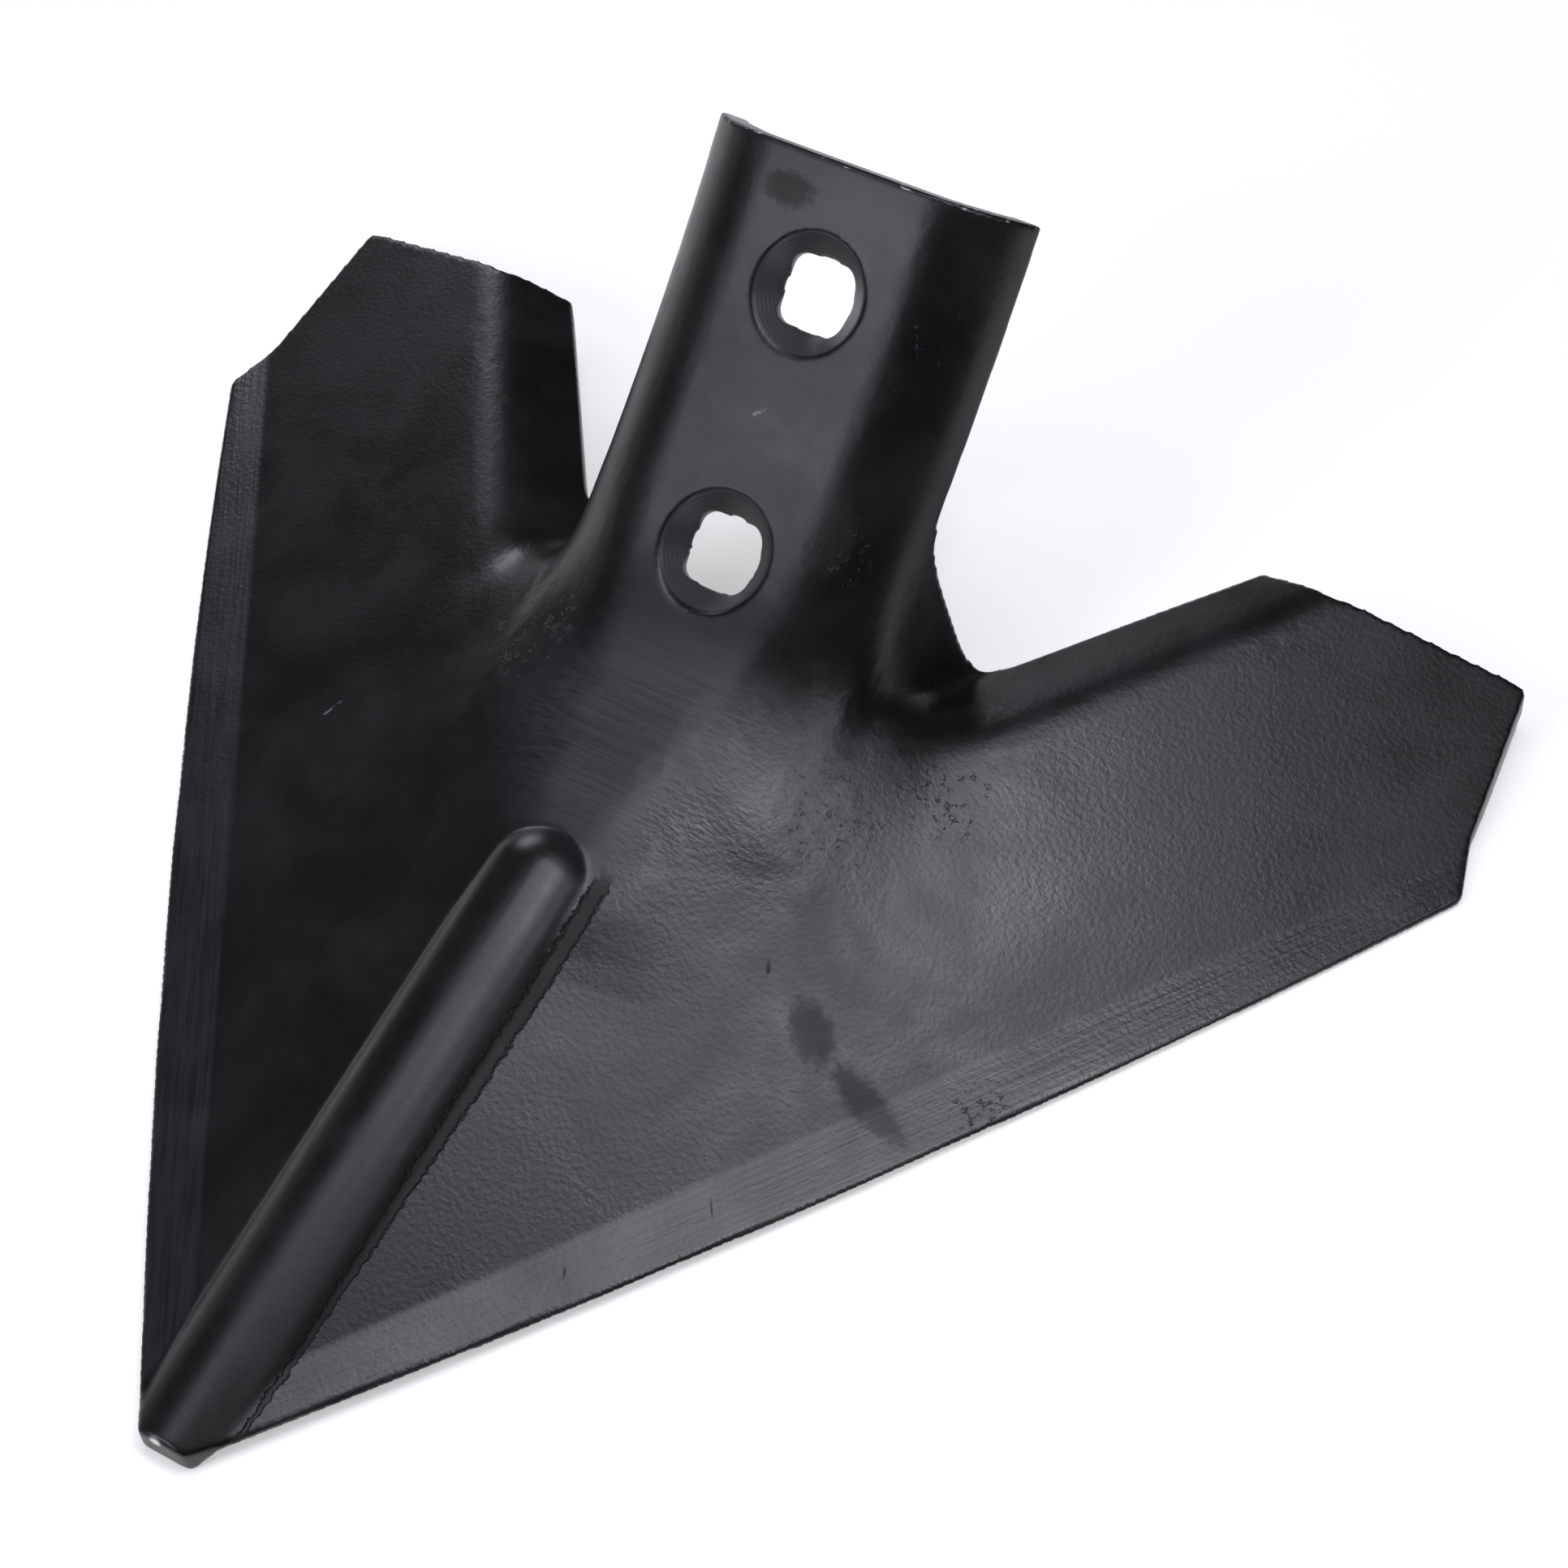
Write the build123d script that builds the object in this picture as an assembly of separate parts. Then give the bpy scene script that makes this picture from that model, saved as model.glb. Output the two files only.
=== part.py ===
from build123d import *
from math import asin, atan, atan2, cos, degrees, hypot, radians, sin, sqrt, tan
import os

# Goosefoot cultivator share, forged in one piece from spring steel.
# X is across the share, Y runs from the point back to the stem and Z is up.
# It is drawn from the virtual point where its two cutting edges would meet, with those
# edges level. The right half is built and mirrored, and the share is then set down.

# Wings
half_span = 128.0  # centre line to the outer front corner of a wing
edge_reach = 194.5  # virtual point back to that corner
edge_bow = 3.4  # how far a cutting edge bows out at mid length
wing_slope = radians(21.0)  # rise of a wing, square to its edge
plate = 5.0  # thickness of the steel
wing_end = 39.5  # length of the wing behind that corner
wing_end_lean = 7.0  # how far the wing narrows over that length
wing_corner_rounding = 1.5
fold_corner_in = 42.0  # where the fold leaves the rear of the wing, in from its front corner
fold_corner_back = 35.0
rear_corner_in = 56.0  # inner rear corner of a wing, in from its front corner
rear_corner_back = 37.0
rear_edge_turn = radians(36.5)  # rear edge of a wing, from the centre line

# Forged lip along each cutting edge
lip_land = 1.4  # thickness left at the cutting edge
lip_slope = radians(10.6)
lip_flare = 1.6  # how far the lip stands out at the end of the wing
lip_flare_start = 11.0  # from the corner, along the end of the wing
lip_flare_rounding = 8.0
lip_corner_rounding = 3.0

# Strip folded down along the rear of each wing
fold_height = 21.0
fold_slope = radians(21.0)
fold_blend = 6.0

# Stem: a channel, open to the rear, on a gently curved line
lower_hole_ahead = 23.3  # in front of the wings' outer corners
lower_hole_rise = 7.2  # above the ridge that the wings would make there
hole_spacing = 45.0
stem_tilt = radians(38.95)  # at the lower hole
stem_radius = 385.0
stem_above_holes = 22.0  # upper hole to the sheared top, along the stem
stem_flat = 13.3  # half width of the flat middle
stem_bend = 18.8  # radius of each side bend
stem_turn = radians(72.0)  # how far each side turns back
stem_depth = 12.4  # front face to the rear edges

# Neck, from the rib up to the stem
neck_radius = 70.0
neck_slope_more = radians(2.0)  # steeper than the ridge of the wings
neck_front = 56.0  # front of the neck, ahead of the lower hole
neck_front_droop = 0.01  # how fast the neck sinks into the wings ahead of its front
neck_front_flat = 10.0  # half width of its flat top at the front
neck_least_flat = 8.0
neck_most_flat = 18.0
neck_spread = 0.143  # how fast the flat top widens towards the stem
neck_side_slope = 0.45
neck_shoulder = 14.0  # width of the rounded shoulder
neck_front_blend = 5.0
neck_rear_blend = 16.0
neck_blend_end = 20.0  # ahead of the lower hole, where the blend into the wings is widest
neck_turn_start = 43.0  # ahead of the lower hole, where the sides begin to turn back
neck_turn_length = 60.0  # over which they turn into the channel

# Notch between the stem and each wing
notch_ahead = 5.0  # in front of the wings' outer corners
notch_radius = 12.0
notch_rise_radius = 15.0

# Nose rib and nose
rib_radius = 12.5
rib_rise = 1.6  # its crest, above the ridge of the wings
rib_to_hole = 48.7  # end of the rib, ahead of the lower hole
rib_half_width = 11.5  # of the whole bar, most of which is sunk in the wings
rib_root = 4.0  # from the crest down to the middle of the bar's underside
rib_dome_reach = 10.0  # length of the rounded end
rib_dome_depth = 6.5
nose_y = 6.0
nose_rounding = 2.0
nose_drop = 2.5  # keel under the nose, below the cutting edges
keel_half_width = 5.0

# Square bolt holes, countersunk from the front
bolt_square = 11.0
bolt_square_corner = 1.5
sink_radius = 10.2
sink_angle = radians(80.0)

# Grid that the two faces are fitted to
rows = 56  # away from the cutting edge
columns = 68  # along the cutting edge
face_overlap = 8.0  # how far the upper face runs past the trimmed outline
fit_tolerance = 0.001  # asks for a fit through every point of the grid
edge_margin = 6.0  # how far the lip's block stands out past the bowed edge
ground_margin = 20.0  # how far the trimming block reaches below the ground
far = 400.0  # beyond every face of the share

edge_turn = atan2(half_span, edge_reach)
edge_length = hypot(half_span, edge_reach)
wing_corner_y = edge_reach + wing_end
notch_y = edge_reach - notch_ahead
ridge_slope = atan(sin(edge_turn) * tan(wing_slope))
neck_slope = ridge_slope + neck_slope_more
lower_hole_y = edge_reach - lower_hole_ahead
lower_hole_z = lower_hole_y * tan(ridge_slope) + lower_hole_rise
neck_front_y = lower_hole_y - neck_front
rib_end_y = lower_hole_y - rib_to_hole


def rounded_max(a, b, width):
    """The larger of two heights, with a hollow blend where they meet."""
    h = max(width - abs(a - b), 0.0) / width
    return max(a, b) + h * h * h * width / 6


def rounded_min(a, b, width):
    """The smaller of two heights, with a rounded crest where they meet."""
    return -rounded_max(-a, -b, width)


def ease(value, start, end):
    """0 before start, 1 after end, and smooth between."""
    t = min(max((value - start) / (end - start), 0.0), 1.0)
    return t * t * (3 - 2 * t)


def from_edge(x, y):
    """Distance in from the straight line that joins the ends of a cutting edge."""
    return y * sin(edge_turn) - x * cos(edge_turn)


def wings(x, y, inset):
    """Height of a wing: a flat blade and the strip folded down at its rear."""
    inward = from_edge(x, y)
    blade = inward * tan(wing_slope)
    strip = fold_height - (inward - fold_height / tan(wing_slope)) * tan(fold_slope)
    if inset > 0:
        blade -= inset / cos(wing_slope)
        strip -= inset / cos(fold_slope)
    return rounded_min(blade, strip, fold_blend)


# Centre of the stem's arc, and of the neck's arc, which runs into it at the lower hole
stem_centre_y = lower_hole_y - stem_radius * sin(stem_tilt)
stem_centre_z = lower_hole_z + stem_radius * cos(stem_tilt)
stem_length = hole_spacing + stem_above_holes
neck_centre_y = lower_hole_y - neck_radius * sin(stem_tilt)
neck_centre_z = lower_hole_z + neck_radius * cos(stem_tilt)
neck_foot_y = neck_centre_y + neck_radius * sin(neck_slope)
neck_foot_z = neck_centre_z - neck_radius * cos(neck_slope)


def on_stem(along, depth):
    """Point in the side view: up the stem from the lower hole, and back from its face."""
    angle = stem_tilt + along / stem_radius
    reach = stem_radius + depth
    return (stem_centre_y + reach * sin(angle), stem_centre_z - reach * cos(angle))


stem_top_y, stem_top_z = on_stem(stem_length, 0)


def centre_tilt(y):
    """Slope of the front face on the centre line, as an angle."""
    if y > stem_top_y:
        return stem_tilt + stem_length / stem_radius
    if y > lower_hole_y:
        return asin((y - stem_centre_y) / stem_radius)
    if y > neck_foot_y:
        return asin((y - neck_centre_y) / neck_radius)
    return neck_slope


def centre_height(y):
    """Front face of the neck and stem on the centre line."""
    if y > stem_top_y:
        return stem_top_z + (y - stem_top_y) * tan(centre_tilt(y))
    if y > lower_hole_y:
        return stem_centre_z - stem_radius * cos(centre_tilt(y))
    if y > neck_foot_y:
        return neck_centre_z - neck_radius * cos(centre_tilt(y))
    droop = neck_front_droop * max(neck_front_y - y, 0.0) ** 2
    return neck_foot_z - (neck_foot_y - y) * tan(neck_slope) - droop


def side_bend(x, radius):
    """How far a face of the stem has turned back at x."""
    out = max(abs(x) - stem_flat, 0.0)
    last = radius * sin(stem_turn)
    if out < last:
        return radius - sqrt(radius**2 - out**2)
    return radius * (1 - cos(stem_turn)) + (out - last) * tan(stem_turn)


def neck_ramp(x, y):
    """Distance out from the neck's flat top, rounded over its shoulder."""
    flat = neck_front_flat + neck_spread * (y - neck_front_y)
    flat = min(max(flat, neck_least_flat), neck_most_flat)
    out = abs(x) - flat + neck_shoulder / 2
    if out > neck_shoulder:
        return out - neck_shoulder / 2
    return max(out, 0.0) ** 2 / (2 * neck_shoulder)


def hub(x, y, inset):
    """Height of the neck, which turns into the stem's channel."""
    turn_start = lower_hole_y - neck_turn_start
    turned = ease(y, turn_start, turn_start + neck_turn_length)
    drop = (1 - turned) * neck_side_slope * neck_ramp(x, y)
    drop += (turned * side_bend(x, stem_bend - inset) + inset) / cos(centre_tilt(y))
    return centre_height(y) - drop


def face_height(x, y, inset):
    """Height of the upper face, or of the face one plate thickness inside it."""
    risen = ease(y, lower_hole_y - neck_turn_start, lower_hole_y - neck_blend_end)
    blend = neck_front_blend + (neck_rear_blend - neck_front_blend + inset) * risen
    return rounded_max(wings(x, y, inset), hub(x, y, inset), blend)


def face_over_grid(inset, margin):
    """Face of the right half, over rows that follow the cutting edge."""
    rows_span = from_edge(0, stem_top_y) + stem_depth + 2 * margin
    columns_span = edge_length + wing_end + 2 * margin
    grid = []
    for row in range(rows):
        inward = rows_span * row / (rows - 1) - margin
        line = []
        for column in range(columns):
            along = columns_span * column / (columns - 1) - margin
            x = along * sin(edge_turn) - inward * cos(edge_turn)
            y = along * cos(edge_turn) + inward * sin(edge_turn)
            line.append(Vector(x, y, face_height(x, y, inset)))
        grid.append(line)
    return Face.make_surface_from_array_of_points(grid, tol=fit_tolerance, min_deg=3, max_deg=6)


# Outline seen from above: the right wing, with a strip past the centre line
wing_corner = (half_span - wing_end_lean, wing_corner_y)
rear_corner = (half_span - rear_corner_in, edge_reach + rear_corner_back)
corner_x = rear_corner[0] - (rear_corner[1] - notch_y) * tan(rear_edge_turn)
waist_x = half_span - lip_flare - wing_end_lean * lip_flare_start / wing_end
waist = (waist_x, edge_reach + lip_flare_start)
bow_x = half_span / 2 + edge_bow * cos(edge_turn)
bow_y = edge_reach / 2 - edge_bow * sin(edge_turn)
with BuildSketch() as plan:
    with BuildLine():
        ThreePointArc((0, 0), (bow_x, bow_y), (half_span, edge_reach))
        Polyline(
            (half_span, edge_reach),
            waist,
            wing_corner,
            (half_span - fold_corner_in, edge_reach + fold_corner_back),
            rear_corner,
            (corner_x, notch_y),
            (-corner_x, notch_y),
            (-corner_x, 0),
            (0, 0),
        )
    make_face()
    for corner, radius in (
        ((half_span, edge_reach), lip_corner_rounding),
        (waist, lip_flare_rounding),
        (wing_corner, wing_corner_rounding),
        ((corner_x, notch_y), notch_radius),
    ):
        fillet(plan.vertices().sort_by_distance(corner)[0], radius)
    with Locations((0, nose_y)):
        Rectangle(far, far, align=(Align.CENTER, Align.MAX), mode=Mode.SUBTRACT)
    nose_corners = plan.vertices().filter_by_position(Axis.Y, nose_y - 0.01, nose_y + 0.01)
    fillet(nose_corners.sort_by(Axis.X)[-1], nose_rounding)
keep_wings = Pos(0, 0, -ground_margin) * extrude(plan.sketch, amount=far)

# Side view of the stem: its rear edges lie at one depth behind the curved front face
with BuildSketch(Plane.YZ) as side:
    with BuildLine():
        low = on_stem(-stem_depth, stem_depth)
        high = on_stem(stem_length, stem_depth)
        ThreePointArc(low, on_stem(stem_length / 2, stem_depth), high)
        Polyline(high, on_stem(stem_length, -3 * stem_depth), on_stem(-stem_depth, -3 * stem_depth), low)
    make_face()
keep_stem = extrude(side.sketch, amount=stem_flat + stem_bend, both=True)
behind_notch = Box(far, far, far, align=(Align.CENTER, Align.MIN, Align.CENTER))
keep_stem &= Pos(0, notch_y, 0) * behind_notch
keep = keep_wings + keep_stem
inner_angle = asin((notch_y - stem_centre_y) / (stem_radius + stem_depth))
inner_z = stem_centre_z - (stem_radius + stem_depth) * cos(inner_angle)
inner_edge = keep.edges().filter_by(Axis.X).sort_by_distance((0, notch_y, inner_z))[0]
keep = fillet(inner_edge, notch_rise_radius)
keep &= Box(far, 2 * far, far, align=(Align.MIN, Align.CENTER, Align.CENTER))

# Right half of the formed sheet, between its upper face and its lower one
over = Solid.extrude(face_over_grid(0, face_overlap), (0, 0, -far))
under = Solid.extrude(face_over_grid(plate, face_overlap + plate), (0, 0, -far))
half = (over & keep) - under

# Lip: a flatter facet that leaves some thickness at the cutting edge
lip_width = lip_land / (tan(wing_slope) - tan(lip_slope))
with BuildSketch(Plane.YZ) as facet:
    with BuildLine():
        Polyline(
            (-edge_margin, -ground_margin),
            (-edge_margin, lip_land - edge_margin * tan(lip_slope)),
            (lip_width, lip_width * tan(wing_slope)),
            (lip_width, -ground_margin),
            (-edge_margin, -ground_margin),
        )
    make_face()
lip = extrude(facet.sketch, amount=far, both=True)
lip = Rot(0, 0, 90 - degrees(edge_turn)) * lip
half += lip & keep


def square_to_rib(y):
    """Plane across the rib, with its Y axis pointing down from the crest."""
    crest_z = rib_rise + y * tan(ridge_slope)
    return Plane((0, y, crest_z), x_dir=(1, 0, 0), z_dir=(0, cos(ridge_slope), sin(ridge_slope)))


# Rib: a round-topped bar along the ridge, with a domed end
dome_y = rib_end_y - rib_dome_reach
rib_side = rib_radius - sqrt(rib_radius**2 - rib_half_width**2)
with BuildSketch(square_to_rib(0)) as bar:
    with BuildLine():
        ThreePointArc((-rib_half_width, rib_side), (0, 0), (rib_half_width, rib_side))
        Polyline((rib_half_width, rib_side), (0, rib_root), (-rib_half_width, rib_side))
    make_face()
rib = extrude(bar.sketch, amount=dome_y / cos(ridge_slope))
dome = Pos(0, rib_radius, 0) * Sphere(rib_radius)
dome &= Box(far, rib_dome_depth, far, align=(Align.CENTER, Align.MIN, Align.MIN))
half += (rib & keep) + (square_to_rib(dome_y) * dome & keep)

# Ground side: the wings are level under the cutting edge, and a keel is left under the nose
rest_lean = atan(nose_drop / (edge_reach - nose_y))
with BuildSketch(Plane.XZ) as ground:
    with BuildLine():
        Polyline(
            (0, -2 * nose_drop),
            (keel_half_width - nose_drop, -2 * nose_drop),
            (keel_half_width + nose_drop, 0),
            (far, 0),
            (far, far),
            (0, far),
            (0, -2 * nose_drop),
        )
    make_face()
half &= extrude(ground.sketch, amount=far, both=True)
above_rest = Box(far, 2 * far, far, align=(Align.CENTER, Align.CENTER, Align.MIN))
half &= Pos(0, edge_reach, 0) * Rot(degrees(rest_lean), 0, 0) * above_rest

# Square bolt holes, each with a cone that starts in front of the face
for along in (0.0, hole_spacing):
    hole_y, hole_z = on_stem(along, 0)
    lean = stem_tilt + along / stem_radius
    seat = Plane((0, hole_y, hole_z), x_dir=(1, 0, 0), z_dir=(0, -sin(lean), cos(lean)))
    with BuildSketch(seat) as hole:
        RectangleRounded(bolt_square, bolt_square, bolt_square_corner)
    half -= extrude(hole.sketch, amount=2 * plate, both=True)
    cone_radius = sink_radius + plate * tan(sink_angle / 2)
    cone_height = cone_radius / tan(sink_angle / 2)
    cone = Cone(0, cone_radius, cone_height, align=(Align.CENTER, Align.CENTER, Align.MAX))
    half -= seat * Pos(0, 0, plate) * cone

# The left half mirrors the right one
half = half.solids()[0]
share = half.fuse(half.mirror(Plane.YZ), glue=True)

# Set down on its keel and wings, with the middle of its footprint at the origin
share = Rot(-degrees(rest_lean), 0, 0) * share
box = share.bounding_box()
share = Pos(0, -box.center().Y, -box.min.Z) * share

os.makedirs("parts", exist_ok=True)
export_step(share, "parts/share_blade.step")
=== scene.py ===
import math
from functools import partial

import bpy
import numpy as np
from mathutils import Matrix, Vector


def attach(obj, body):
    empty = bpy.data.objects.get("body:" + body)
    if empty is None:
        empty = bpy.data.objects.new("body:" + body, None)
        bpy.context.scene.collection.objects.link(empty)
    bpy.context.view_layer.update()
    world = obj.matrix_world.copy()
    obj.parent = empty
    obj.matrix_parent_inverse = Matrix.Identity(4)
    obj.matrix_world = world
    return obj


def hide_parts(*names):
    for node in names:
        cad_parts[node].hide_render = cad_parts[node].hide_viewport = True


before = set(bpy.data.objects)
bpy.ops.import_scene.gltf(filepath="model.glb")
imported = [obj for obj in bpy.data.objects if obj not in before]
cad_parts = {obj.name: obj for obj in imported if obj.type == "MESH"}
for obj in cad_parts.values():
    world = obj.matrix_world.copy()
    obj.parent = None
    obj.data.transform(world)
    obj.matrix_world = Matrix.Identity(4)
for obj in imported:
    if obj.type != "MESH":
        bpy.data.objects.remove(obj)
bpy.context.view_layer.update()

bl_info = {
    "name": "Goosefoot Share",
    "version": (1, 0, 0),
    "blender": (4, 5, 0),
    "location": "3D View > Sidebar > Share",
    "description": "Finishes a forged cultivator share and sets it on a pale floor",
    "category": "Object",
}

MM = 0.001

# Where things are on the share, in millimetres in the frame
POINT_Y = -119.955  # virtual point where the two cutting edges would meet
EDGE_TURN = math.radians(33.35)  # of each cutting edge, from the centre line
LIP_WIDTH = 7.0
RIB_HALF_WIDTH = 9.5
RIB_END_Y = -3.5
HOLES = ((0.0, 51.8, 43.63), (0.0, 85.47, 73.45))
HOLE_AXES = ((0.0, -0.6183, 0.7860), (0.0, -0.7057, 0.7085))
CUTTER_LENGTH = 24.0  # of the square bar that opens each hole
SINK_RADIUS = 10.2
RINGS_FLOOR = 8.0  # below the hole's middle, where the turned rings have ended
STEM_TOP = (0.0, 100.9, 89.4)  # middle of the top edge of the front face
STEM_LINE = (0.0, 0.667, 0.745)  # up the stem, at its top

# The blend at the neck's foot, in millimetres
FOOT = (34.0, 37.0)  # its middle on the right side, seen from above
FOOT_REACH = 19.0
FOOT_SPREAD = 8.5
KEPT_DETAIL = 1.5  # smaller forms than this stay

# Size of the features in each pattern of the paint, along x, y and z, in millimetres
STREAK = (18.0, 0.7, 0.7)  # along the cutting edge, inward from it, and up
GRINDING_LINE = (24.0, 0.6, 0.6)
GRINDING_TURN = (0.0, 0.0, 0.25)  # of these lines, in radians
MOTTLE = (1.6, 1.6, 1.6)
CLOUD = (24.0, 24.0, 24.0)
CHIP = (4.0, 1.0, 1.0)
RING_PITCH = 0.5  # from one turned ring to the next

# Relief of each kind of wear, where 1 is the height of the paint's pebbled grain
STREAK_HEIGHT = 1.2
LINE_HEIGHT = 0.8
RING_HEIGHT = 0.15
PIT_DEPTH = 1.6
SEAM_DEPTH = 9.0

# What the clouds, cracks and lip add to the paint's roughness or take from it
CLOUD_DULLNESS = 0.06
CRACK_DULLNESS = 0.25
LIP_POLISH = 0.05

# How much each kind of wear lightens the paint towards its scratched colour; at the neck's foot
# this paleness is also a painted sheen
SINK_PALENESS = 0.3
LIP_PALENESS = 0.2
GROUND_PALENESS = 0.35
HANDLED_AND_SHEEN_PALENESS = 0.7
SPECK_PALENESS = 0.35

# The lap beside the rib, in millimetres
SEAM_X = 11.0  # from the centre line, where y is 0
SEAM_LEAN = 0.0135  # to the side, for each millimetre of y
SEAM_WANDER = 1.8

# Parts of the surface with a finish of their own: middle and reach, in millimetres
WORKED = ((0, 62, 58), (44, 62, 60))  # forged neck and stem
GROUND = ((6, 20, 28), (36, 26, 24))  # neck, ground across
HANDLED_AND_SHEEN = ((33, 28, 23), (19, 20, 15))  # worn grey and a painted sheen at the neck's foot
RUBBED = ((22, 82, 66), (9, 16, 18))  # right flank of the stem
NOSE_CHIP = ((-1.0, -113.6, 4.4), (1.6, 0.9, 1.1))
PITTED = (  # reach is the same all round
    ((36, 27, 22), 12.0),
    ((50, 42, 19), 10.0),
    ((-27, 34, 29), 14.0),
    ((20, 60, 45), 8.0),
    ((79, 0, 2), 7.0),
)
STAINS = (  # middle, reach and turn in radians
    ((50, -4, 9), (6, 10, 9), 0.9),
    ((63, -9, 4), (5, 15, 9), 1.25),
    ((-9, 96, 84), (8, 5, 5), 0.0),
    ((19, 60, 48), (5, 11, 12), 0.0),
)

# Marks on the surface: start, end and width, in millimetres
# Cracks and nicks, painted dark as the shade in their grooves; the first line is painted shade
# along the crease where the neck meets the right wing
CUTS_AND_CREASE = (
    ((19.3, -5.3, 19.6), (35.7, 15.5, 18.6), 0.35),
    ((34.0, -52.6, 5.6), (36.4, -56.5, 4.4), 0.30),
    ((36.4, -56.5, 4.4), (39.0, -62.0, 2.2), 0.30),
    ((39.0, -62.0, 2.2), (43.5, -59.5, 2.2), 0.30),
    ((49.3, -34.6, 4.3), (54.0, -41.0, 2.0), 0.25),
    ((27.8, 18.6, 23.3), (31.0, 17.2, 22.5), 0.25),
    ((38.8, 1.8, 14.0), (39.6, 0.2, 13.6), 0.60),
)
SCUFFS = (
    ((19.6, 87.4, 73.6), (21.2, 84.5, 69.5), 0.40),
    ((27.5, 77.6, 56.0), (24.0, 72.0, 55.0), 0.40),
    ((71.3, 89.7, 20.2), (74.5, 95.5, 20.0), 0.45),
    ((76.5, 98.5, 20.0), (81.7, 105.6, 20.0), 0.45),
    ((-58.5, 11.6, 9.8), (-57.0, 14.6, 11.0), 0.40),
    ((-1.9, 69.7, 58.7), (-0.6, 70.6, 59.5), 0.50),
)

# Stage, in metres
FLOOR_SIZE = 6.0
LIT_MIDDLE = (0.03, 0.01, 0.02)  # where every light aims
LIGHTS = (  # setting that holds the power, name, place, width and depth
    ("key", "key_softbox", (0.20, 0.09, 0.64), 0.14, 0.12),
    ("top", "top_panel", (0.00, 0.20, 1.05), 0.5, 0.4),
    ("side", "side_panel", (0.58, 0.10, 0.72), 0.3, 0.3),
    ("neck", "neck_panel", (-0.25, -0.14, 0.85), 0.3, 0.3),
    ("left", "left_panel", (-1.10, 0.90, 0.65), 0.5, 0.5),
    ("low", "low_panel", (-1.20, -0.05, 0.22), 0.3, 0.6),
    ("front", "front_panel", (-0.36, -0.66, 0.60), 0.5, 0.4),
)
CAMERA_PLACE = (0.24666, -0.26926, 0.49749)
CAMERA_RIGHT = Vector((0.8515, 0.51972, -0.0696))
CAMERA_UP = Vector((-0.3753, 0.69667, 0.61131))
CAMERA_SENSOR = 36.0  # mm
CAMERA_LENS = 83.85  # mm

MATHS = "ShaderNodeMath"
VECTOR_MATHS = "ShaderNodeVectorMath"
RAMP = "ShaderNodeMapRange"
BLEND = "ShaderNodeMix"
SMOOTH = {"interpolation_type": "SMOOTHSTEP"}


def linear(hex_colour):
    """An sRGB hex colour as linear red, green, blue and alpha."""
    shares = [int(hex_colour[i:i + 2], 16) / 255 for i in (1, 3, 5)]
    return [s / 12.92 if s <= 0.04045 else ((s + 0.055) / 1.055) ** 2.4 for s in shares] + [1.0]


class ShareSizes(bpy.types.PropertyGroup):
    """Sizes of the share's finish"""

    cell: bpy.props.FloatProperty(
        name="Cell", description="Cell size of the even mesh, which also rounds the edges",
        default=0.5 * MM, unit="LENGTH", precision=5)
    triangles: bpy.props.IntProperty(
        name="Triangles", description="Triangles left in the finished mesh", default=185000)
    hole: bpy.props.FloatProperty(
        name="Hole", description="Width of the square bolt holes", default=12.3 * MM,
        unit="LENGTH", precision=5)
    hole_corner: bpy.props.FloatProperty(
        name="Hole Corner", description="Rounding of their corners", default=2.8 * MM,
        unit="LENGTH", precision=5)
    rounding: bpy.props.IntProperty(
        name="Rounding", description="Smoothing passes over the sheared edges", default=6)
    pebble: bpy.props.FloatProperty(
        name="Pebble", description="Size of the paint's pebbled grain", default=0.9 * MM,
        unit="LENGTH", precision=5)
    pebble_height: bpy.props.FloatProperty(
        name="Pebble Height", description="Height of that grain", default=0.04 * MM,
        unit="LENGTH", precision=6)


class SharePaint(bpy.types.PropertyGroup):
    """Colours of the share"""

    paint: bpy.props.FloatVectorProperty(
        name="Paint", description="Black stoving paint", subtype="COLOR", size=4,
        default=linear("#101013"))
    dusty: bpy.props.FloatVectorProperty(
        name="Dusty Paint", description="Paint dulled by dust and handling", subtype="COLOR",
        size=4, default=linear("#17171a"))
    # Dark colour of stains, also used for the painted shade in the lap, the nicks and the crease
    stain_and_groove_shade: bpy.props.FloatVectorProperty(
        name="Stain", description="Oily stains and the depth of cracks", subtype="COLOR", size=4,
        default=linear("#060607"))
    # Pale colour of scratched and worn paint, also used for the painted sheen at the neck's foot
    scuff_and_sheen: bpy.props.FloatVectorProperty(
        name="Scuff", description="Scratched paint", subtype="COLOR", size=4,
        default=linear("#6c6c70"))
    bare: bpy.props.FloatVectorProperty(
        name="Bare Steel", description="Steel where the paint has chipped off", subtype="COLOR",
        size=4, default=linear("#cfcdca"))
    roughness: bpy.props.FloatProperty(
        name="Roughness", description="Roughness of the paint", default=0.34, min=0, max=1)


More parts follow.
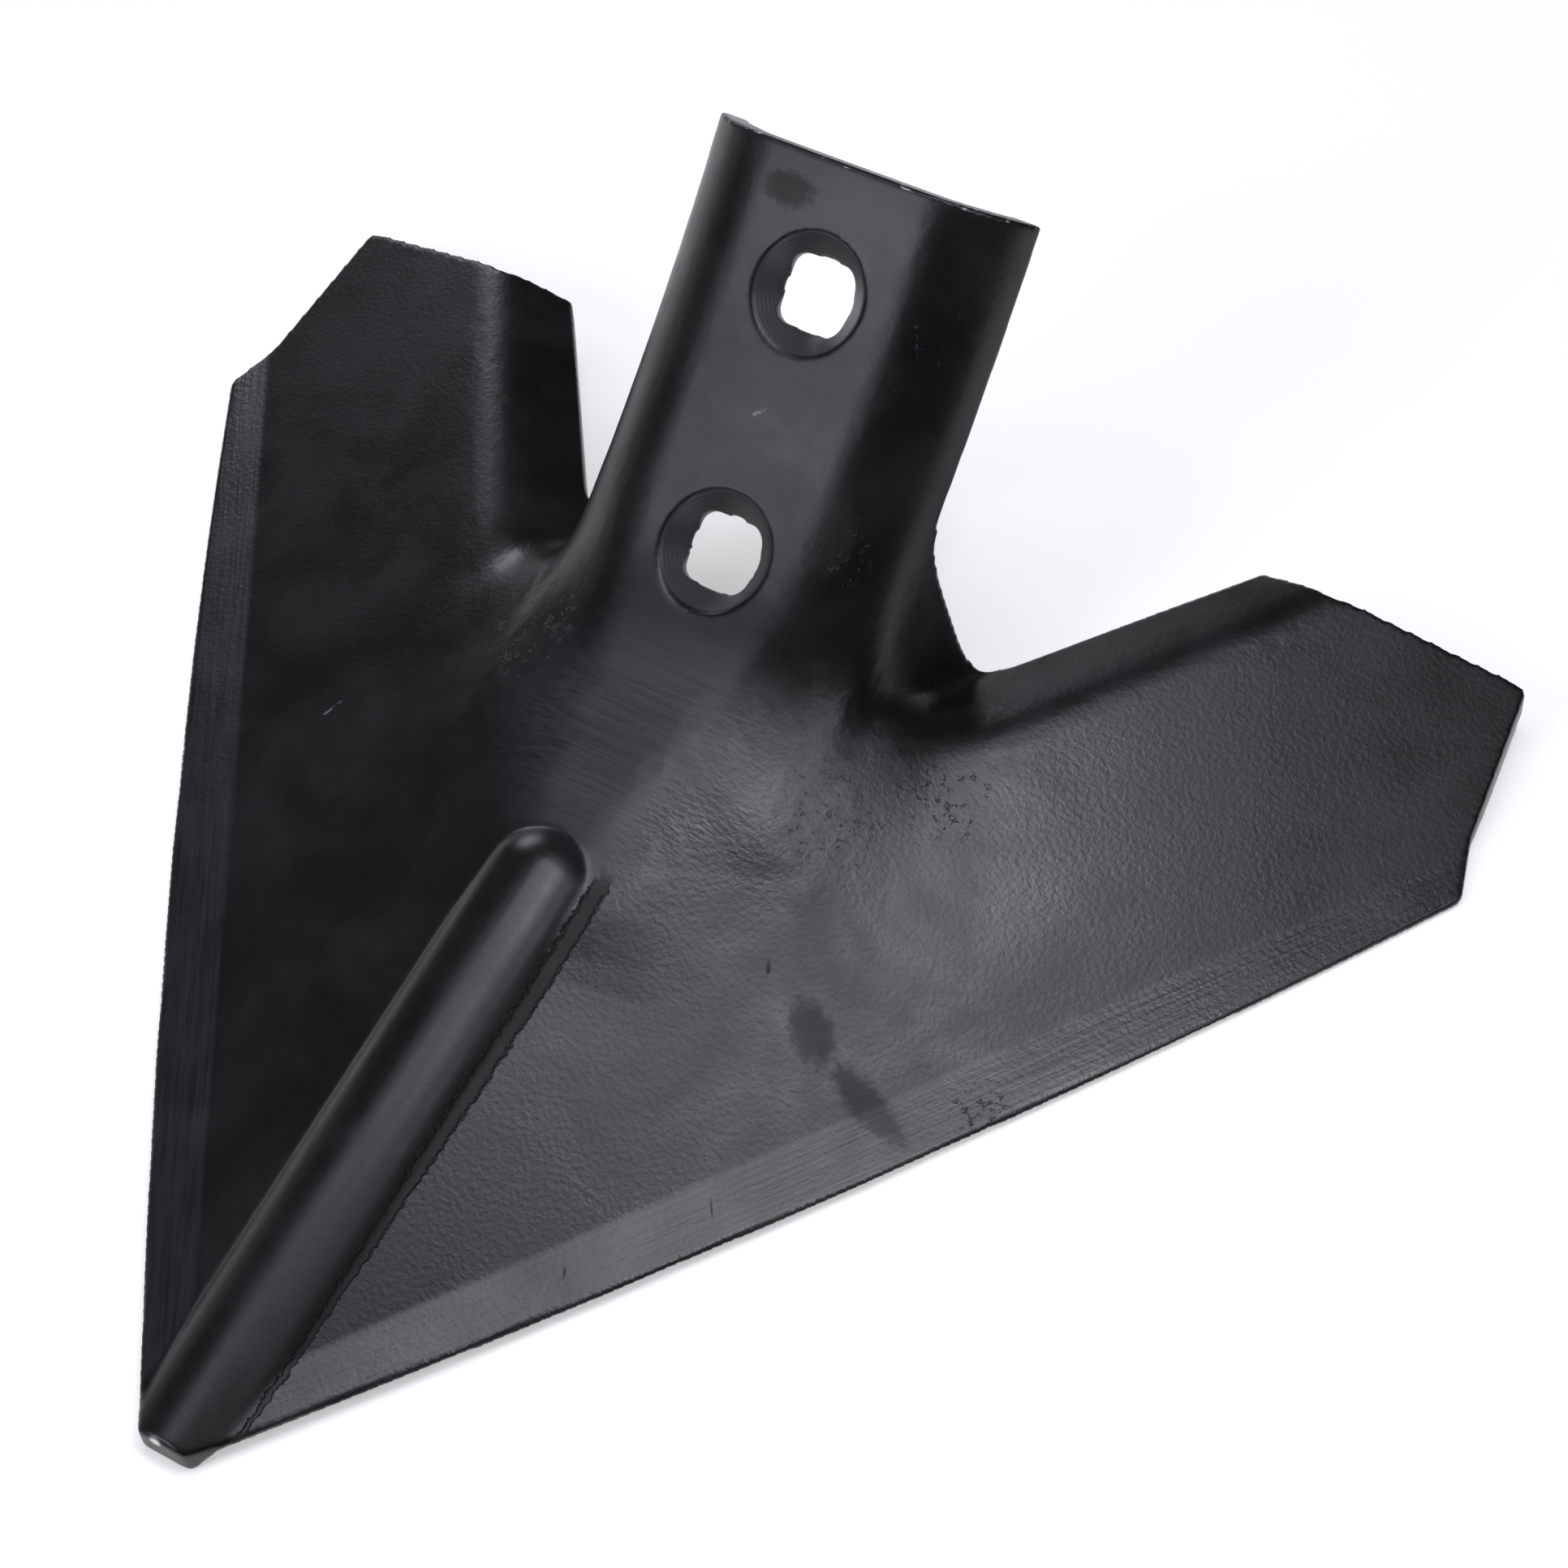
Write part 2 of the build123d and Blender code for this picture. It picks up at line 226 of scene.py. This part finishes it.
class ShareStage(bpy.types.PropertyGroup):
    """Floor, lights and camera"""

    floor: bpy.props.FloatVectorProperty(
        name="Floor", description="Colour of the floor", subtype="COLOR", size=4,
        default=linear("#f6f6f6"))
    floor_glow: bpy.props.FloatProperty(
        name="Floor Glow", description="Light given by the floor itself", default=0.48)
    room: bpy.props.FloatVectorProperty(
        name="Room", description="Colour of the dim room around the floor", subtype="COLOR",
        size=4, default=linear("#808080"))
    room_glow: bpy.props.FloatProperty(
        name="Room Glow", description="Light given by the room", default=0.1)
    lamp: bpy.props.FloatVectorProperty(
        name="Lamp", description="Colour of every panel of light", subtype="COLOR", size=4,
        default=linear("#f7f5ff"))
    key: bpy.props.FloatProperty(
        name="Key", description="Power of the main softbox", default=0.7, unit="POWER")
    top: bpy.props.FloatProperty(
        name="Top", description="Power of the overhead panel", default=2.8, unit="POWER")
    side: bpy.props.FloatProperty(
        name="Side", description="Power of the panel on the right", default=0.75, unit="POWER")
    neck: bpy.props.FloatProperty(
        name="Neck", description="Power of the panel that lights the neck", default=0.6,
        unit="POWER")
    left: bpy.props.FloatProperty(
        name="Left", description="Power of the panel on the left", default=3.4, unit="POWER")
    low: bpy.props.FloatProperty(
        name="Low", description="Power of the low panel on the left", default=0.22,
        unit="POWER")
    front: bpy.props.FloatProperty(
        name="Front", description="Power of the panel in front", default=2.3, unit="POWER")


def add_node(tree, kind, inputs=(), out=0, **settings):
    """Adds a node with its settings and links, and gives back one of its outputs."""
    node = tree.nodes.new(kind)
    for name, value in settings.items():
        setattr(node, name, value)
    pairs = inputs.items() if isinstance(inputs, dict) else enumerate(inputs)
    for name, value in pairs:
        if isinstance(value, bpy.types.NodeSocket):
            tree.links.new(value, node.inputs[name])
        else:
            node.inputs[name].default_value = value
    return node.outputs[out]


def patch(add, place, area, turn=0.0, soft=0.6):
    """1 in an ellipsoid around a place on the surface, fading out over its outer part."""
    middle, reach = area
    moved = add("ShaderNodeMapping", [place, middle, (0, 0, turn), reach], vector_type="TEXTURE")
    away = add(VECTOR_MATHS, [moved], "Value", operation="LENGTH")
    return add(RAMP, [away, 1.0 - soft, 1.0, 1.0, 0.0], **SMOOTH)


def scratch(add, place, start, end, width):
    """1 on a thin line between two places on the surface."""
    start, end = Vector(start), Vector(end)
    run = end - start
    offset = add(VECTOR_MATHS, [place, start], operation="SUBTRACT")
    share = add(VECTOR_MATHS, [offset, run / run.length_squared], "Value",
                operation="DOT_PRODUCT")
    share = add("ShaderNodeClamp", [share])
    nearest = add(VECTOR_MATHS, {0: run, "Scale": share}, operation="SCALE")
    away = add(VECTOR_MATHS, [offset, nearest], "Value", operation="DISTANCE")
    return add(RAMP, [away, width * 0.3, width, 1.0, 0.0], **SMOOTH)


def marks(add, place, lines):
    """1 on any of some thin lines."""
    total = 0.0
    for start, end, width in lines:
        total = add(MATHS, [total, scratch(add, place, start, end, width)], operation="MAXIMUM")
    return total


def grain(add, place, lengths, detail=1.0, roughness=0.6, distortion=0.0, turn=(0, 0, 0)):
    """Noise whose features are as long as lengths says, in millimetres."""
    scaled = add("ShaderNodeMapping", [place, (0, 0, 0), turn, [1 / size for size in lengths]])
    return add("ShaderNodeTexNoise", {"Vector": scaled, "Scale": 1.0, "Detail": detail,
                                      "Roughness": roughness, "Distortion": distortion})


def layered(add, base, first, second, share):
    """The product of two masks, taken share times and added to a base."""
    both = add(MATHS, [first, second], operation="MULTIPLY")
    return add(MATHS, [both, share, base], operation="MULTIPLY_ADD")


def stoved_paint(sizes, colours):
    """Black stoving paint on forged steel: dark, pebbled and half glossy, with shop wear."""
    material = bpy.data.materials.new("stoved_black_paint")
    material.use_nodes = True
    tree = material.node_tree
    tree.nodes.clear()
    add = partial(add_node, tree)
    position = add("ShaderNodeTexCoord", out="Object")
    place = add(VECTOR_MATHS, [position, (1 / MM,) * 3], operation="MULTIPLY")
    x, y, z = (add("ShaderNodeSeparateXYZ", [place], axis) for axis in "XYZ")
    side = add(MATHS, [x], operation="ABSOLUTE")

    # Distances from the cutting edge and along it, the same on both wings
    back = add(MATHS, [y, -POINT_Y])
    inward = add(MATHS, [add(MATHS, [back, math.sin(EDGE_TURN)], operation="MULTIPLY"),
                         add(MATHS, [side, math.cos(EDGE_TURN)], operation="MULTIPLY")],
                 operation="SUBTRACT")
    along = add(MATHS, [add(MATHS, [back, math.cos(EDGE_TURN)], operation="MULTIPLY"),
                        add(MATHS, [side, math.sin(EDGE_TURN)], operation="MULTIPLY")])
    by_edge = add("ShaderNodeCombineXYZ", [along, inward, z])

    # Paint pebbles over the blasted wings, and is smoother on the forged neck, stem and rib
    pebbles = grain(add, place, (sizes.pebble / MM,) * 3)
    worked = patch(add, place, WORKED, soft=0.35)
    on_rib = add(RAMP, [side, RIB_HALF_WIDTH - 1.5, RIB_HALF_WIDTH + 1.5, 1.0, 0.0], **SMOOTH)
    smoother = add(MATHS, [worked, on_rib], operation="MAXIMUM")
    height = add(MATHS, [pebbles, add(RAMP, [smoother, 0, 1, 1.0, 0.3])], operation="MULTIPLY")

    # The lip was drawn out hot: fine streaks run along it
    on_lip = add(MATHS, [add(RAMP, [inward, LIP_WIDTH - 0.6, LIP_WIDTH + 0.6, 1.0, 0.0], **SMOOTH),
                         add(RAMP, [side, RIB_HALF_WIDTH - 0.5, RIB_HALF_WIDTH + 0.5], **SMOOTH)],
                 operation="MULTIPLY")
    streaks = grain(add, by_edge, STREAK)
    height = layered(add, height, on_lip, streaks, STREAK_HEIGHT)

    # Grinding lines cross the neck
    lines = grain(add, place, GRINDING_LINE, turn=GRINDING_TURN)
    on_neck = patch(add, place, GROUND)
    height = layered(add, height, on_neck, lines, LINE_HEIGHT)

    # Each countersink was turned, which left fine rings and thinner paint
    in_sinks = 0.0
    for centre, axis in zip(HOLES, HOLE_AXES):
        offset = add(VECTOR_MATHS, [place, centre], operation="SUBTRACT")
        depth = add(VECTOR_MATHS, [offset, axis], "Value", operation="DOT_PRODUCT")
        upright = add(VECTOR_MATHS, {0: axis, "Scale": depth}, operation="SCALE")
        radius = add(VECTOR_MATHS, [offset, upright], "Value", operation="DISTANCE")
        near = add(RAMP, [radius, SINK_RADIUS - 0.3, SINK_RADIUS + 0.1, 1.0, 0.0], **SMOOTH)
        above = add(RAMP, [depth, -RINGS_FLOOR - 1.0, -RINGS_FLOOR], **SMOOTH)
        inside = add(MATHS, [near, above], operation="MULTIPLY")
        turned = add(MATHS, [radius, 2 * math.pi / RING_PITCH], operation="MULTIPLY")
        turned = add(MATHS, [turned], operation="SINE")
        height = layered(add, height, inside, turned, RING_HEIGHT)
        in_sinks = add(MATHS, [in_sinks, inside], operation="MAXIMUM")

    # Scale pits gather around the neck's foot, on the stem and on the lip
    mottle = grain(add, place, MOTTLE, 3.0, 0.7)
    pitted = 0.0
    for middle, reach in PITTED:
        pitted = add(MATHS, [pitted, patch(add, place, (middle, (reach,) * 3))],
                     operation="MAXIMUM")
    pits = add(RAMP, [mottle, 0.34, 0.42, 1.0, 0.0], **SMOOTH)
    height = layered(add, height, pits, pitted, -PIT_DEPTH)

    # A lap of forged steel is folded against the right side of the rib, and opens to the rear; its
    # groove is also painted dark as shade
    seam_x = add(MATHS, [y, SEAM_LEAN, SEAM_X], operation="MULTIPLY_ADD")
    off_seam = add(MATHS, [x, seam_x], operation="SUBTRACT")
    off_seam = add(MATHS, [add(MATHS, [mottle, 0.5], operation="SUBTRACT"), SEAM_WANDER, off_seam],
                   operation="MULTIPLY_ADD")
    off_seam = add(MATHS, [off_seam], operation="ABSOLUTE")
    seam_width = add(RAMP, [y, -90.0, -40.0, 0.6, 1.7])
    seam = add(MATHS, [off_seam, seam_width], operation="DIVIDE")
    beside_rib = add(RAMP, [y, RIB_END_Y - 2.5, RIB_END_Y + 2.5, 1.0, 0.0], **SMOOTH)
    seam = add(MATHS, [add(RAMP, [seam, 0.45, 1.0, 1.0, 0.0], **SMOOTH), beside_rib],
               operation="MULTIPLY")
    height = add(MATHS, [seam, -SEAM_DEPTH, height], operation="MULTIPLY_ADD")

    # Scratches broken up by the mottle, and specks where the paint was rubbed or pitted
    scuffs = add(MATHS, [marks(add, place, SCUFFS), add(RAMP, [mottle, 0.42, 0.55], **SMOOTH)],
                 operation="MULTIPLY")
    worn = add(MATHS, [patch(add, place, RUBBED), pitted], operation="MAXIMUM")
    specks = add(RAMP, [mottle, 0.66, 0.72], **SMOOTH)
    scuffs = layered(add, scuffs, specks, worn, SPECK_PALENESS)

    # Broad, cloudy changes in the paint, oily stains and a run near the lip
    clouds = grain(add, place, CLOUD, 3.0, 0.65, 0.4)
    dust = add(RAMP, [clouds, 0.40, 0.68], **SMOOTH)
    stained = 0.0
    for middle, reach, turn in STAINS:
        stained = add(MATHS, [stained, patch(add, place, (middle, reach), turn, 1.0)],
                      operation="MAXIMUM")
    stained = add(MATHS, [mottle, 0.9, stained], operation="MULTIPLY_ADD")
    stained = add(RAMP, [stained, 0.60, 1.15, 0.0, 0.55], **SMOOTH)

    # Chips along the top edge and at the nose show bare steel
    below_top = add(VECTOR_MATHS, [place, STEM_TOP], operation="SUBTRACT")
    below_top = add(VECTOR_MATHS, [below_top, STEM_LINE], "Value", operation="DOT_PRODUCT")
    top_edge = add(MATHS, [add(RAMP, [below_top, -0.9, -0.5], **SMOOTH),
                           add(RAMP, [below_top, -0.25, 0.0, 1.0, 0.0], **SMOOTH)],
                   operation="MULTIPLY")
    broken = add(RAMP, [grain(add, place, CHIP, 2.0, 0.7), 0.60, 0.66], **SMOOTH)
    chips = add(MATHS, [top_edge, broken], operation="MULTIPLY")
    chips = add(MATHS, [chips, patch(add, place, NOSE_CHIP)], operation="MAXIMUM")

    # Cracks, nicks, the lap and the crease where the neck meets the right wing are painted dark as
    # shade in their grooves, and stains are dark in their own colour; worn places are paler, and
    # the grey at the neck's foot is partly a painted sheen
    dark = add(MATHS, [seam, marks(add, place, CUTS_AND_CREASE)], operation="MAXIMUM")
    dark = add(MATHS, [dark, stained], operation="MAXIMUM")
    pale = add(MATHS, [in_sinks, SINK_PALENESS, scuffs], operation="MULTIPLY_ADD")
    pale = layered(add, pale, on_lip, streaks, LIP_PALENESS)
    pale = layered(add, pale, on_neck, lines, GROUND_PALENESS)
    # The pale grey at the neck's foot is partly worn paint and partly a painted sheen
    pale = layered(add, pale, patch(add, place, HANDLED_AND_SHEEN, soft=1.0), mottle, HANDLED_AND_SHEEN_PALENESS)
    colour = colours.paint[:]
    for mask, over in ((dust, colours.dusty), (dark, colours.stain_and_groove_shade), (pale, colours.scuff_and_sheen),
                       (chips, colours.bare)):
        colour = add(BLEND, {0: mask, 6: colour, 7: over[:]}, 2, data_type="RGBA")
    rough = add(RAMP, [clouds, 0.3, 0.7, -CLOUD_DULLNESS, CLOUD_DULLNESS])
    rough = add(MATHS, [rough, colours.roughness])
    rough = add(MATHS, [dark, CRACK_DULLNESS, rough], operation="MULTIPLY_ADD")
    rough = add(MATHS, [on_lip, -LIP_POLISH, rough], operation="MULTIPLY_ADD")
    bump = add("ShaderNodeBump", {"Strength": 1.0, "Distance": sizes.pebble_height,
                                  "Height": height})
    shader = add("ShaderNodeBsdfPrincipled", {"Base Color": colour, "Metallic": chips,
                                              "Roughness": rough, "Normal": bump})
    output = tree.nodes.new("ShaderNodeOutputMaterial")
    tree.links.new(shader, output.inputs["Surface"])
    return material


def even_copy(node_name, piece_name, cell):
    """A copy of a solid of the frame, meshed again in even cells and alone in the selection."""
    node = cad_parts[node_name]
    bpy.ops.object.select_all(action="DESELECT")
    piece = node.copy()
    piece.data = node.data.copy()
    piece.name = piece_name
    piece.data.name = piece_name
    bpy.context.collection.objects.link(piece)
    piece.select_set(True)
    bpy.context.view_layer.objects.active = piece
    bpy.ops.object.mode_set(mode="EDIT")
    bpy.ops.mesh.select_all(action="SELECT")
    bpy.ops.mesh.remove_doubles(threshold=0.001 * MM)
    bpy.ops.object.mode_set(mode="OBJECT")
    even = piece.modifiers.new("even", "REMESH")
    even.mode = "VOXEL"
    even.voxel_size = cell
    bpy.ops.object.modifier_apply(modifier="even")
    return piece


def blurred(field, spread):
    """A grid of numbers, mirrored at its first row, with a round blur that isn't scaled to 1."""
    steps = np.arange(-3 * math.ceil(spread), 3 * math.ceil(spread) + 1)
    bell = np.exp(-(steps / spread) ** 2 / 2)
    whole = np.vstack((field[:0:-1], field))
    for axis in (0, 1):
        whole = np.apply_along_axis(np.convolve, axis, whole, bell, "same")
    return whole[len(field) - 1:]


def soften(piece, place, reach, spread):
    """Evens out the height of a round area on both sides of the piece; sizes in millimetres."""
    mesh = piece.data
    points = np.empty(len(mesh.vertices) * 3, dtype=np.float32)
    mesh.vertices.foreach_get("co", points)
    points = points.reshape(-1, 3) / MM

    # Height of the upper side on a grid of 1 mm, with -1 where there is no steel
    column = np.abs(points[:, 0])
    row = points[:, 1] - points[:, 1].min()
    nearest = (np.rint(column).astype(int), np.rint(row).astype(int))
    top = np.full((nearest[0].max() + 2, nearest[1].max() + 2), -1.0)
    np.maximum.at(top, nearest, points[:, 2])
    covered = top >= 0

    # A wide blur less a fine one is what takes out the broad hollows and ridges
    wide, fine = (blurred(top * covered, each) / np.maximum(blurred(covered * 1.0, each), 1e-3)
                  for each in (spread, KEPT_DETAIL))
    shift = wide - fine
    left, low = column.astype(int), row.astype(int)
    across, up = column - left, row - low
    shift = ((1 - across) * ((1 - up) * shift[left, low] + up * shift[left, low + 1])
             + across * ((1 - up) * shift[left + 1, low] + up * shift[left + 1, low + 1]))
    away = np.hypot(column - place[0], points[:, 1] - place[1])
    points[:, 2] += shift * np.exp(-(away / reach) ** 4)
    mesh.vertices.foreach_set("co", (points * MM).ravel())
    mesh.update()


def clean_holes(piece, width, corner):
    """Cuts the square bolt holes again with crisp walls."""
    for centre, axis in zip(HOLES, HOLE_AXES):
        bpy.ops.object.select_all(action="DESELECT")
        bpy.ops.mesh.primitive_cube_add(size=1.0)
        cutter = bpy.context.active_object
        cutter.scale = (width, width, CUTTER_LENGTH * MM)
        bpy.ops.object.transform_apply(scale=True)
        rounded = cutter.modifiers.new("corners", "BEVEL")
        rounded.width = corner
        rounded.segments = 6
        rounded.limit_method = "NONE"
        bpy.ops.object.modifier_apply(modifier="corners")
        cutter.rotation_euler = Vector(axis).to_track_quat("Z", "Y").to_euler()
        cutter.location = Vector(centre) * MM
        bpy.ops.object.transform_apply(location=True, rotation=True)
        bpy.context.view_layer.objects.active = piece
        hole = piece.modifiers.new("hole", "BOOLEAN")
        hole.object = cutter
        hole.solver = "EXACT"
        bpy.ops.object.modifier_apply(modifier="hole")
        bpy.data.objects.remove(cutter)
    piece.select_set(True)


class SHARE_OT_forging(bpy.types.Operator):
    """Even out the share's mesh, round its sheared edges and paint it"""

    bl_idname = "share.forging"
    bl_label = "Forged Share"

    def execute(self, context):
        sizes = context.scene.share_sizes
        piece = even_copy("share_blade", "share_forging", sizes.cell)
        soften(piece, FOOT, FOOT_REACH, FOOT_SPREAD)
        smooth = piece.modifiers.new("round", "SMOOTH")
        smooth.iterations = sizes.rounding
        bpy.ops.object.modifier_apply(modifier="round")
        thin = piece.modifiers.new("thin", "DECIMATE")
        thin.ratio = sizes.triangles / (2 * len(piece.data.polygons))  # each is two triangles
        bpy.ops.object.modifier_apply(modifier="thin")
        clean_holes(piece, sizes.hole, sizes.hole_corner)
        bpy.ops.object.shade_smooth()
        piece.data.materials.clear()
        piece.data.materials.append(stoved_paint(sizes, context.scene.share_paint))
        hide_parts("share_blade")
        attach(piece, "root")
        return {"FINISHED"}


def softbox(name, place, width, depth, power, colour):
    """A plain panel of light that is aimed at the share."""
    light = bpy.data.lights.new(name, "AREA")
    light.shape = "RECTANGLE"
    light.size = width
    light.size_y = depth
    light.energy = power
    light.color = colour
    lamp = bpy.data.objects.new(name, light)
    bpy.context.collection.objects.link(lamp)
    lamp.location = place
    lamp.rotation_euler = (Vector(LIT_MIDDLE) - Vector(place)).to_track_quat("-Z", "Y").to_euler()


class SHARE_OT_stage(bpy.types.Operator):
    """Lay a pale floor, hang the lights and set the camera"""

    bl_idname = "share.stage"
    bl_label = "Stage"

    def execute(self, context):
        stage = context.scene.share_stage
        bpy.ops.object.select_all(action="DESELECT")
        bpy.ops.mesh.primitive_plane_add(size=FLOOR_SIZE, location=(0, 0, 0))
        floor = context.active_object
        floor.name = "floor"

        # Matt white paper, lit from within a little: a plain bright ground with soft shadows
        paper = bpy.data.materials.new("matt_white_paper")
        paper.use_nodes = True
        shader = paper.node_tree.nodes["Principled BSDF"]
        shader.inputs["Base Color"].default_value = stage.floor
        shader.inputs["Roughness"].default_value = 0.9
        shader.inputs["Emission Color"].default_value = stage.floor
        shader.inputs["Emission Strength"].default_value = stage.floor_glow
        floor.data.materials.append(paper)

        world = bpy.data.worlds.new("studio")
        world.use_nodes = True
        background = world.node_tree.nodes["Background"]
        background.inputs["Color"].default_value = stage.room
        background.inputs["Strength"].default_value = stage.room_glow
        context.scene.world = world
        context.scene.view_settings.view_transform = "Standard"
        for setting, name, place, width, depth in LIGHTS:
            softbox(name, place, width, depth, getattr(stage, setting), stage.lamp[:3])

        # The camera stands where the photograph was taken from
        camera = bpy.data.cameras.new("camera")
        camera.sensor_width = CAMERA_SENSOR
        camera.lens = CAMERA_LENS
        camera_object = bpy.data.objects.new("camera", camera)
        context.collection.objects.link(camera_object)
        axes = (CAMERA_RIGHT, CAMERA_UP, CAMERA_RIGHT.cross(CAMERA_UP))
        camera_object.location = CAMERA_PLACE
        camera_object.rotation_euler = Matrix(axes).transposed().to_euler()
        context.scene.camera = camera_object
        return {"FINISHED"}


OPERATORS = (SHARE_OT_forging, SHARE_OT_stage)
GROUPS = {"share_sizes": ShareSizes, "share_paint": SharePaint, "share_stage": ShareStage}


class SHARE_PT_panel(bpy.types.Panel):
    """The share's pieces and stage"""

    bl_idname = "SHARE_PT_panel"
    bl_label = "Goosefoot Share"
    bl_space_type = "VIEW_3D"
    bl_region_type = "UI"
    bl_category = "Share"

    def draw(self, context):
        for group in GROUPS:
            settings = getattr(context.scene, group)
            for name in settings.bl_rna.properties.keys():
                if name not in ("rna_type", "name"):
                    self.layout.prop(settings, name)
        for operator in OPERATORS:
            self.layout.operator(operator.bl_idname)


CLASSES = (*GROUPS.values(), *OPERATORS, SHARE_PT_panel)


def register():
    for each in CLASSES:
        bpy.utils.register_class(each)
    for name, group in GROUPS.items():
        setattr(bpy.types.Scene, name, bpy.props.PointerProperty(type=group))


def unregister():
    for name in GROUPS:
        delattr(bpy.types.Scene, name)
    for each in reversed(CLASSES):
        bpy.utils.unregister_class(each)


def main():
    register()
    bpy.ops.share.forging()
    bpy.ops.share.stage()


if __name__ == "__main__":
    main()
